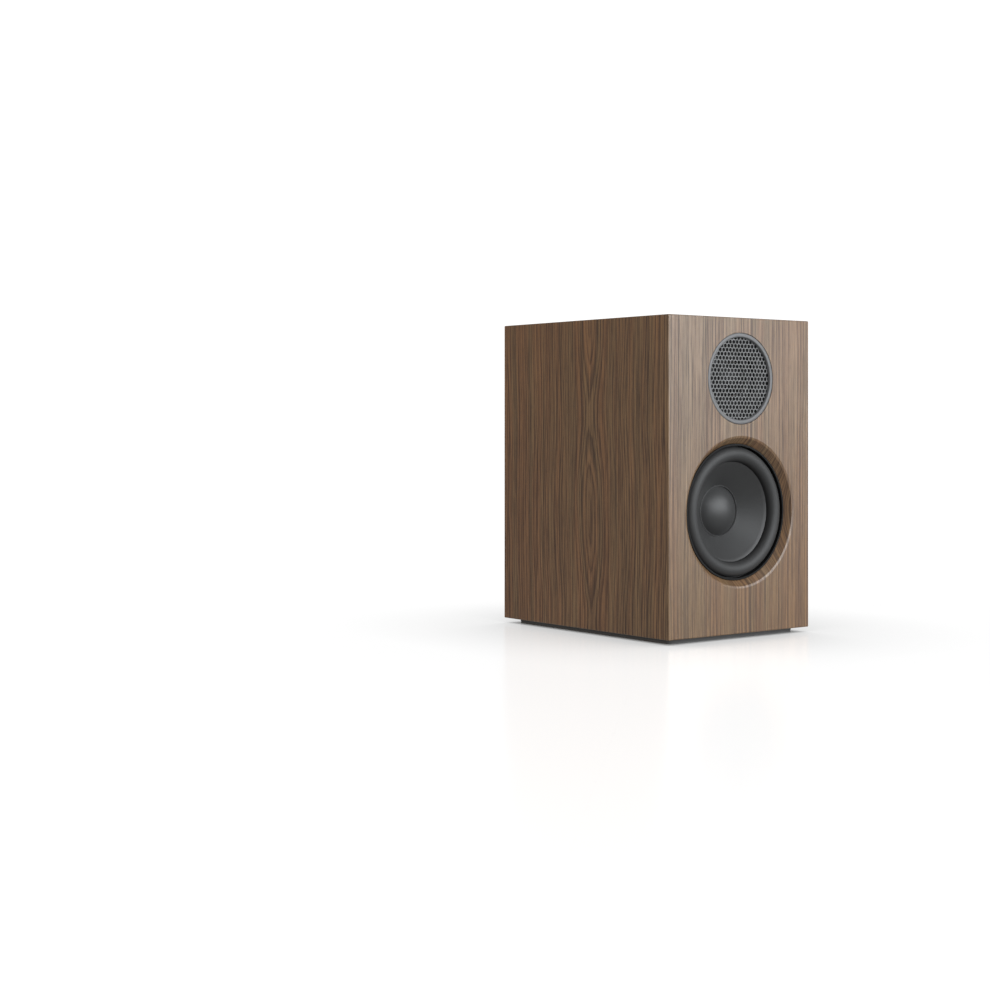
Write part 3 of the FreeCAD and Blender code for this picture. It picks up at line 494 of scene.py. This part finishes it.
def flexing(name, outline, finish, slot, node, steps):
    """A turned piece, in millimetres, of a part clamped at its outer radius and driven by the cone at
    its inner one. It is made in sectors."""
    sector = 2 * math.pi / SECTORS
    for count in range(SECTORS):
        bm = bmesh.new()
        section = outline_edges(bm, outline, WOOFER)
        section.append(bm.faces.new(section[:len(outline)]))
        bmesh.ops.rotate(bm, verts=bm.verts, cent=WOOFER,
                         matrix=Matrix.Rotation(sector * count, 3, ALONG_Y))
        bmesh.ops.spin(bm, geom=section, cent=WOOFER, axis=ALONG_Y, dvec=(0, 0, 0), angle=sector,
                       steps=steps // SECTORS, use_merge=False, use_duplicate=False)
        outward = Vector((0, 0, 0))
        for vert in bm.verts:
            outward += vert.co - WOOFER
        outward.y = 0
        outward.normalize()
        made = piece(f"{name}_{count + 1:02d}", bm, finish, slot, None, node)
        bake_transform(made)


def keep(node, finish, crease=SHARP):
    """A CAD node that is shown as it is, with smooth shading and its own finish."""
    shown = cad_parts[node]
    shown.data.materials.clear()
    shown.data.materials.append(finish)
    weld = shown.modifiers.new("weld", "WELD")
    weld.merge_threshold = 1e-6
    split = shown.modifiers.new("split", "EDGE_SPLIT")
    split.split_angle = crease


# ---------------------------------------------------------------- cabinet

def make_cabinet():
    keep("front_baffle", veneer("walnut_front", 0, 2, 0.78), ARRIS)
    side = veneer("walnut_side", 1, 2, 1.0, (-10.0, 91.0, 160.0))
    keep("left_side_panel", side)
    keep("right_side_panel", side)
    top = veneer("walnut_top", 1, 0)
    keep("top_panel", top)
    keep("bottom_panel", top)
    coating = moulded("textured_coating", (0.020, 0.020, 0.021), 0.62, 0.9, 0.12)
    keep("rear_panel", coating)
    board = moulded("fibreboard", (0.36, 0.27, 0.18), 0.9, 1.2, 0.05)
    keep("rear_panel_cleats", board)
    seal = moulded("foam_seal", (0.03, 0.03, 0.03), 0.95, 2.5, 0.08)
    for node in ("rear_panel_gasket", "woofer_gasket", "tweeter_gasket", "terminal_cup_gasket"):
        keep(node, seal)
    black_steel = moulded("black_steel", (0.035, 0.035, 0.036), 0.38, 3.0, 0.008, 0.6)
    for node in ("rear_panel_screws", "tweeter_screws", "terminal_cup_screws"):
        keep(node, black_steel)


def make_pad():
    """The inset pad under the cabinet, with a fine moulded step round its edge."""
    low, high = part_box("base_pad")
    bm = block(low, high)
    upright = [e for e in bm.edges if abs(e.verts[0].co.z - e.verts[1].co.z) > MM]
    corner, step, step_depth = 6 * MM, 1.4 * MM, 0.35 * MM
    bmesh.ops.bevel(bm, geom=upright, offset=corner, segments=10, profile=0.5, affect="EDGES", material=-1)
    step_height = low.z + step
    bmesh.ops.bisect_plane(bm, geom=bm.verts[:] + bm.edges[:] + bm.faces[:], plane_co=(0, 0, step_height),
                           plane_no=(0, 0, 1))
    below = [f for f in bm.faces if f.calc_center_median().z < step_height - 0.1 * MM]
    walls = [f for f in below if abs(f.normal.z) < 0.5]
    bmesh.ops.inset_region(bm, faces=walls, thickness=0, depth=-step_depth, use_even_offset=True)
    soften(bm, 0.2)
    rubber = moulded("pad_rubber", (0.075, 0.074, 0.073), 0.7, 1.4, 0.03)
    piece("foot_pad", bm, rubber, "pad_rubber", "cabinet", "base_pad")


def make_foam():
    """Open-cell pads with a waved face, one on each side and one under the top."""
    foam = cloth("acoustic_foam", (0.10, 0.10, 0.11), 1.2, 0.3)
    low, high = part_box("damping_foam")
    thick = 12 * MM
    front_top = low.y + 18 * MM
    side_top = 205 * MM
    top_half = 42 * MM
    # The waves of the open face: their depth, and their rate in radians to the metre.
    wave_depth, wave_rate = 1.8 * MM, 420
    boxes = {
        "foam_left": (low, Vector((low.x + thick, high.y, side_top)), 0),
        "foam_right": (Vector((high.x - thick, low.y, low.z)), Vector((high.x, high.y, side_top)), 0),
        "foam_top": (Vector((-top_half, front_top, high.z - thick)), Vector((top_half, high.y, high.z)), 2),
    }
    for count, (name, (corner, far, flat)) in enumerate(boxes.items()):
        bm = block(corner, far)
        bmesh.ops.subdivide_edges(bm, edges=bm.edges[:], cuts=15, use_grid_fill=True)
        centre = (corner + far) / 2
        inner = -1 if centre[flat] > 0 else 1
        for vert in bm.verts:
            if (vert.co[flat] - centre[flat]) * inner > 0:
                others = [vert.co[k] for k in range(3) if k != flat]
                wave = math.sin(others[0] * wave_rate) * math.sin(others[1] * wave_rate)
                vert.co[flat] -= inner * wave_depth * (1 + wave)
        pad = piece(name, bm, foam, "foam", "cabinet", *(["damping_foam"] if count == 0 else []))


# ---------------------------------------------------------------- woofer

def make_woofer():
    coated = moulded("coated_fibre", (0.029, 0.029, 0.029), 0.47, 3.2, 0.02)
    rubber = moulded("surround_rubber", (0.025, 0.025, 0.025), 0.58, 2.2, 0.012, specular=0.45)
    basket = moulded("basket_paint", (0.006, 0.006, 0.006), 0.65, 1.6, 0.02, specular=0.2)
    roll = depths("woofer_surround")
    outer_edge = half_width("woofer_surround")
    crest = roll[0]
    inner, outer, foot, thick = 38.5, 49.8, 9.7, 0.7
    centre = (inner + outer) / 2
    lip = foot + 0.05
    surround = arc((inner, foot), (centre, crest), (outer, foot), 24)
    surround += [(outer_edge, lip), (outer_edge, lip + thick), (outer - thick, lip + thick)]
    surround += arc((outer - thick, foot), (centre, crest + thick), (inner + thick, foot), 24)
    surround += [(inner + thick, 11.6), (36.5, roll[1]), (36.5, 12.9), (inner, 11.3)]
    flexing("surround_roll", surround, rubber, "surround_rubber", "woofer_surround",
            steps=384)

    cone_start, cone_end = depths("woofer_cone")
    cone_edge = half_width("woofer_cone")
    neck = 13.0
    paper = 0.8
    cone = turned([(cone_edge, cone_start), (neck, cone_end - paper), (neck, cone_end),
                   (cone_edge, cone_start + paper)], WOOFER, FINE_ROUND)
    rims = [e for e in cone.edges if abs(e.verts[0].co.y - e.verts[1].co.y) > MM]
    bmesh.ops.subdivide_edges(cone, edges=rims, cuts=10)
    soften(cone, 0.15)
    piece("cone", cone, coated, "cone_fibre", "woofer_moving", "woofer_cone")

    cap_top, cap_foot = depths("dust_cap")
    cap = arc((-18.4, 24.3), (0, cap_top), (18.4, 24.3), 40)[20:]
    cap += [(18.8, 24.6), (19.2, 23.9), (19.45, 23.65), (19.7, 23.65), (19.95, 23.85), (20.0, 24.02)]
    cap += [(18.0, 25.5)] + arc((18.0, 25.5), (0, cap_top + 0.5), (-18.0, 25.5), 40)[1:21]
    piece("cap", turned(cap, WOOFER), coated, "cap_fibre", "woofer_moving", "dust_cap")

    spider_cloth = cloth("dipped_cloth", (0.50, 0.33, 0.12), 0.7)
    front, back = 33.85, 34.45
    inner_flat, outer_flat, waves = 15.0, 33.6, 10
    half = (outer_flat - inner_flat) / waves
    crests = [(half_width("woofer_spider"), front)]
    points, height = 6, 0.9
    for k in range(waves * points + 1):
        radius = outer_flat - half * k / points
        crests.append((radius, front + height * math.sin(math.pi * (outer_flat - radius) / half)))
    crests.append((13.2, front))
    spider = crests + [(radius, depth + back - front) for radius, depth in reversed(crests)]
    flexing("spider", spider, spider_cloth, "spider_cloth", "woofer_spider",
            steps=96)

    keep("woofer_frame", basket)
    zinc = brushed("zinc_plate", (0.62, 0.62, 0.60), 0.35)
    for node in ("woofer_top_plate", "woofer_back_plate", "woofer_screws"):
        keep(node, zinc)
    keep("woofer_magnet", moulded("ferrite", (0.055, 0.055, 0.06), 0.6, 0.9, 0.06))
    copper = brushed("enamelled_copper", (0.72, 0.30, 0.14), 0.3, (0.5, 5.0, 0.5))
    for node in ("voice_coil", "tinsel_leads", "inductor_windings"):
        keep(node, copper)
    keep("voice_coil_former", brushed("former_film", (0.75, 0.75, 0.75), 0.3))
    black = moulded("black_moulding", (0.022, 0.022, 0.023), 0.5, 1.4, 0.02)
    for node in ("woofer_terminal_strip", "tweeter_terminal_board", "inductor_bobbins", "port_inner_flare"):
        keep(node, black)


# ---------------------------------------------------------------- tweeter

def honeycomb():
    """Hexagonal holes in rows, standing on their points, in a thin disc with a plain rim."""
    start, end = depths("tweeter_mesh")
    radius = half_width("tweeter_mesh")
    pitch, hole = 3.575, 2.92
    web = (pitch - hole) / 2
    row_step = pitch * math.sqrt(3) / 2
    corner = pitch / math.sqrt(3)
    rows = int(radius / row_step)
    columns = int(radius / pitch) + 1
    bm = bmesh.new()
    upright = Matrix.Rotation(math.radians(90), 4, "X") @ Matrix.Rotation(math.radians(30), 4, "Z")
    for row in range(-rows, rows + 1):
        shift = pitch / 2 if row % 2 else 0
        for column in range(-columns, columns + 1):
            x, z = column * pitch + shift, row * row_step
            if math.hypot(x, z) < radius - 0.2 * pitch:
                place = TWEETER + Vector((x, start, z)) * MM
                bmesh.ops.create_circle(bm, cap_ends=True, radius=corner * MM, segments=6,
                                        matrix=Matrix.Translation(place) @ upright)
    bmesh.ops.remove_doubles(bm, verts=bm.verts, dist=0.02 * MM)
    for vert in bm.verts:
        out = (vert.co - TWEETER).xz
        if out.length > radius * MM:
            out *= radius * MM / out.length
            vert.co = Vector((out.x, vert.co.y, TWEETER.z + out.y))
    bmesh.ops.recalc_face_normals(bm, faces=bm.faces)
    cells = bm.faces[:]
    bmesh.ops.inset_individual(bm, faces=cells, thickness=web * MM, depth=0)
    bmesh.ops.delete(bm, geom=cells, context="FACES")
    grown = bmesh.ops.extrude_face_region(bm, geom=bm.faces[:])
    moved = [v for v in grown["geom"] if isinstance(v, bmesh.types.BMVert)]
    bmesh.ops.translate(bm, verts=moved, vec=(0, (end - start) * MM, 0))
    bmesh.ops.recalc_face_normals(bm, faces=bm.faces)
    lips = [e for e in bm.edges if len(e.link_faces) == 2 and e.calc_face_angle(0) > SHARP
            and all(v.co.y < FRONT + (start + 0.05) * MM for v in e.verts)]
    bmesh.ops.bevel(bm, geom=lips, offset=0.09 * MM, segments=1, profile=0.5, affect="EDGES", material=-1)
    return bm


def mesh_paint_and_hole_shade():
    """Grey paint on the face of the mesh, with painted shade: the walls inside its holes are coloured near
    black.
    """
    finish = Finish("mesh_paint_and_hole_shade", roughness=0.38)
    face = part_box("tweeter_mesh")[0].y / MM
    speckle = finish.noise(finish.stretched(2.5, 2.5, 2.5), 1, 3, 0.55)
    grey = finish.mixed_colour(speckle, (0.28, 0.28, 0.28), (0.40, 0.40, 0.40))
    # Painted shade: from just behind the face, the colour goes near black inside the holes.
    painted_hole_shade = finish.between(finish.split()[1], face + 0.10, face + 0.25)
    finish.coloured(finish.mixed_colour(painted_hole_shade, grey, (0.012, 0.012, 0.012)))
    finish.rough(finish.math("MULTIPLY_ADD", speckle, 0.10, 0.33))
    finish.bumped(speckle, 0.004)
    return finish.material


def make_tweeter():
    satin = moulded("satin_grey", (0.11, 0.11, 0.112), 0.42, 2.5, 0.006)
    ring_end = depths("tweeter_trim_ring")[1]
    ring_edge = half_width("tweeter_trim_ring")
    seat, rebate = 2.1, 33.9
    mouth, throat = 31.9, 31.3
    ring = turned([(mouth, 0), (ring_edge, 0), (ring_edge, ring_end), (rebate, ring_end), (rebate, seat),
                   (throat, seat), (throat, 1.3)], TWEETER, FINE_ROUND)
    soften(ring, 0.25, 3)
    piece("trim_ring", ring, satin, "trim_grey", "cabinet", "tweeter_trim_ring")
    piece("honeycomb", honeycomb(), mesh_paint_and_hole_shade(), "mesh_black", "cabinet", "tweeter_mesh")
    plate = moulded("faceplate_plastic", (0.008, 0.008, 0.008), 0.55, 2.0, 0.01, specular=0.15)
    keep("tweeter_faceplate", plate)
    carrier = moulded("carrier_plastic", (0.005, 0.005, 0.005), 0.6, 2.0, 0.01, specular=0.1)
    keep("tweeter_carrier_ring", carrier)

    silk = cloth("coated_silk", (0.006, 0.006, 0.006), 0.28, 0.015)
    silk.node_tree.nodes["Principled BSDF"].inputs["Roughness"].default_value = 0.42
    apex, base = depths("tweeter_dome")
    edge = half_width("tweeter_dome")
    dome = arc((-edge, base), (0, apex), (edge, base), 32)[16:]
    dome += arc((edge - 0.3, base), (0, apex + 0.3), (0.3 - edge, base), 32)[:17]
    piece("dome", turned(dome, TWEETER, 96), silk, "dome_cloth", "tweeter_moving", "tweeter_dome")
    front, back = 8.65, 8.95
    inner, outer = 13.0, 16.4
    thick, rise = back - front, 1.5
    centre = (inner + outer) / 2
    roll_edge = half_width("tweeter_surround")
    roll = arc((inner, front), (centre, front - rise), (outer, front), 12)
    roll += [(roll_edge, front), (roll_edge, back), (outer - thick, back)]
    roll += arc((outer - thick, back), (centre, back - rise), (inner + thick, back), 12)[1:]
    roll += [(inner, back)]
    piece("dome_roll", turned(roll, TWEETER, 96), silk, "dome_cloth", "cabinet", "tweeter_surround")
    zinc = bpy.data.materials["zinc_plate"]
    for node in ("tweeter_yoke", "tweeter_pole_plate"):
        keep(node, zinc)
    keep("tweeter_magnet", brushed("nickel_plate", (0.7, 0.7, 0.72), 0.2))
    keep("tweeter_voice_coil", brushed("dark_winding", (0.05, 0.022, 0.014), 0.45, (0.5, 5.0, 0.5), 0.5))


# ---------------------------------------------------------------- port and terminals

def make_port():
    """The port tube, with the flare of its mouth drawn as one round curve."""
    start, end = depths("port_tube")
    lip = half_width("port_tube")
    bore, flare = 17.0, 10.0
    sag = flare * (1 - math.sqrt(0.5))
    wide = bore + flare
    panel_front, panel_back = depths("rear_panel")
    outside, shoulder = 19.2, 23.9
    tube = [(bore, start)] + arc((bore, end - flare), (bore + sag, end - sag), (wide, end), 20)
    tube += [(lip, end), (lip, panel_back), (shoulder, panel_back), (shoulder, panel_front + 3)]
    tube += [(outside, panel_front + 0.5), (outside, start)]
    bm = turned(tube, PORT)
    rims = [e for e in bm.edges if e.calc_face_angle(0) > SHARP
            and min(v.co.y for v in e.verts) > BACK - 4 * MM]
    bmesh.ops.bevel(bm, geom=rims, offset=0.6 * MM, segments=3, profile=0.5, affect="EDGES", material=-1)
    satin = moulded("port_plastic", (0.022, 0.022, 0.023), 0.48, 1.1, 0.03)
    piece("port", bm, satin, "port_black", "cabinet", "port_tube")


def knob(node):
    """A fluted knob: a turned body whose grip is drawn in between its ribs, round its outer end."""
    low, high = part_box(node)
    centre = Vector(((low.x + high.x) / 2, FRONT, (low.z + high.z) / 2))
    start, end = depths(node)
    radius, bore = half_width(node), 5.0
    flutes, flute_depth = 18, 0.55
    outline = [(bore, start), (radius - 0.8, start), (radius, start + 0.8), (radius, start + 2.6),
               (radius - 0.25, start + 2.9), (radius - 0.25, end - 1.6), (radius - 0.9, end - 0.5),
               (radius - 1.7, end), (bore, end)]
    bm = turned(outline, centre, flutes * 8)
    grip = [e for e in bm.edges if min(v.co.y for v in e.verts) > FRONT + (start + 2.7) * MM
            and max(v.co.y for v in e.verts) < FRONT + (end - 1.4) * MM
            and abs(e.verts[0].co.y - e.verts[1].co.y) > MM
            and (e.verts[0].co - centre).xz.length > (radius - 1) * MM]
    bmesh.ops.subdivide_edges(bm, edges=grip, cuts=6)
    for vert in bm.verts:
        across = (vert.co - centre).xz
        depth = (vert.co.y - FRONT) / MM
        if across.length > (radius - 0.6) * MM and start + 2.95 < depth < end - 1.7:
            valley = 0.5 - 0.5 * math.cos(flutes * math.atan2(across.y, across.x))
            across *= 1 - flute_depth * MM * valley**2 / across.length
            vert.co.x = centre.x + across.x
            vert.co.z = centre.z + across.y
    return bm


def make_terminals():
    gold = brushed("gold_plate", (0.86, 0.62, 0.28), 0.24, (5, 0.6, 5))
    for node in ("binding_posts", "solder_lugs", "driver_terminal_tabs", "black_clamp_washer",
                 "red_clamp_washer", "black_knob_sleeve", "red_knob_sleeve"):
        keep(node, gold)
    keep("terminal_nuts", bpy.data.materials["zinc_plate"])
    keep("terminal_cup", moulded("cup_plastic", (0.024, 0.024, 0.025), 0.5, 1.1, 0.05))
    black = moulded("knob_black", (0.020, 0.020, 0.021), 0.3, 2.0, 0.006)
    red = moulded("knob_red", (0.42, 0.018, 0.016), 0.3, 2.0, 0.006)
    piece("grip_black", knob("black_knob"), black, "black_knob", "black_knob", "black_knob")
    piece("grip_red", knob("red_knob"), red, "red_knob", "red_knob", "red_knob")


def make_crossover():
    keep("crossover_board", moulded("green_laminate", (0.04, 0.17, 0.07), 0.35, 1.5, 0.01))
    keep("crossover_standoffs", moulded("natural_nylon", (0.72, 0.70, 0.64), 0.5, 1.5, 0.01))
    keep("capacitors", moulded("film_wrap", (0.55, 0.40, 0.09), 0.3, 0.8, 0.01))
    keep("cement_resistors", moulded("cement", (0.70, 0.68, 0.62), 0.9, 1.0, 0.08))
    keep("internal_wiring", moulded("wire_jacket", (0.09, 0.09, 0.09), 0.4, 1.5, 0.01))


def make_floor():
    """A wide plain floor just under the speaker."""
    bm = bmesh.new()
    bmesh.ops.create_grid(bm, x_segments=2, y_segments=2, size=30)
    mesh = bpy.data.meshes.new("floor")
    bm.to_mesh(mesh)
    bm.free()
    mesh.materials.append(floor_material())
    floor = bpy.data.objects.new("floor", mesh)
    bpy.context.scene.collection.objects.link(floor)


camera()
studio()
make_floor()
make_cabinet()
make_pad()
make_foam()
make_woofer()
make_tweeter()
make_port()
make_terminals()
make_crossover()
